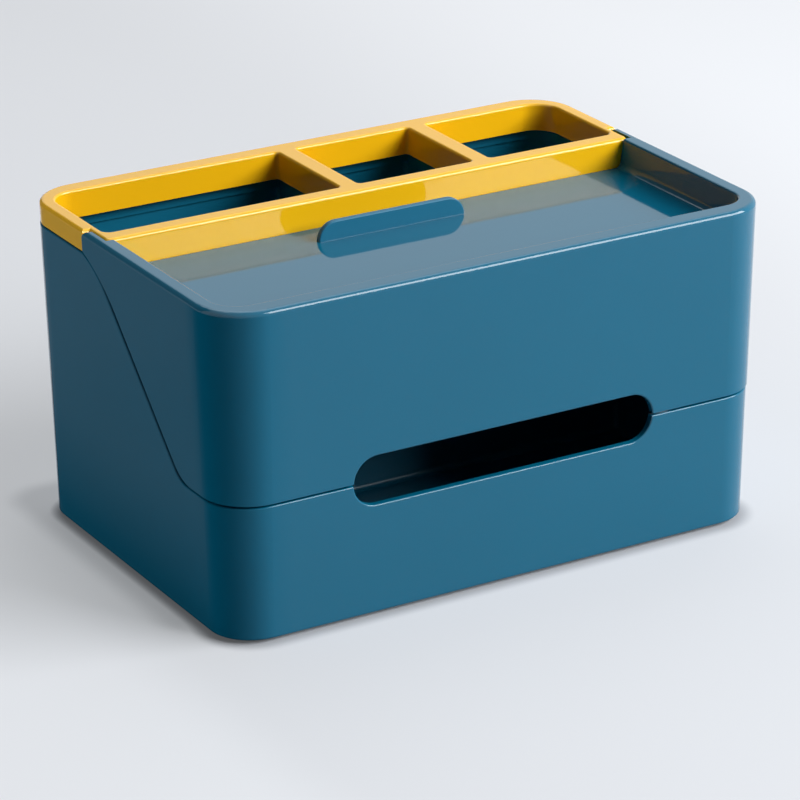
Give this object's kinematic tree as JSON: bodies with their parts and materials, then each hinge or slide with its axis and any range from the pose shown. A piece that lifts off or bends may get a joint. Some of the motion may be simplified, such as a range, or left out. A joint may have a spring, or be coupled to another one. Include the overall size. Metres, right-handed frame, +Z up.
{
  "type": "tissue box",
  "caption": "Rectangular desktop tissue box with a front pull slot, a flip-up front cover with a recessed tray and stop tab, and a rear organiser frame over open wells.",
  "frame": {"origin": "middle of the footprint, on the surface the box stands on", "axes": "+X along the front to the right, +Y from the front to the rear, +Z up"},
  "size_m": [0.22, 0.1495, 0.12],
  "materials": {
    "teal_plastic": "high gloss injection moulding",
    "yellow_plastic": "high gloss injection moulding",
    "pad_rubber": "matt rubber"
  },
  "bodies": {
    "base": {"base_body": "teal_plastic", "organiser_frame": "yellow_plastic", "foot_pad_front_left": "pad_rubber", "foot_pad_front_right": "pad_rubber", "foot_pad_rear_left": "pad_rubber", "foot_pad_rear_right": "pad_rubber"},
    "cover": {"flip_cover": "teal_plastic"}
  },
  "joints": [
    {"name": "cover_hinge", "type": "hinge", "parent": "base", "child": "cover", "pos_m": [0, 0.02325, 0.1173], "axis": [-1, 0, 0], "range_deg": [0, 95]}
  ]
}
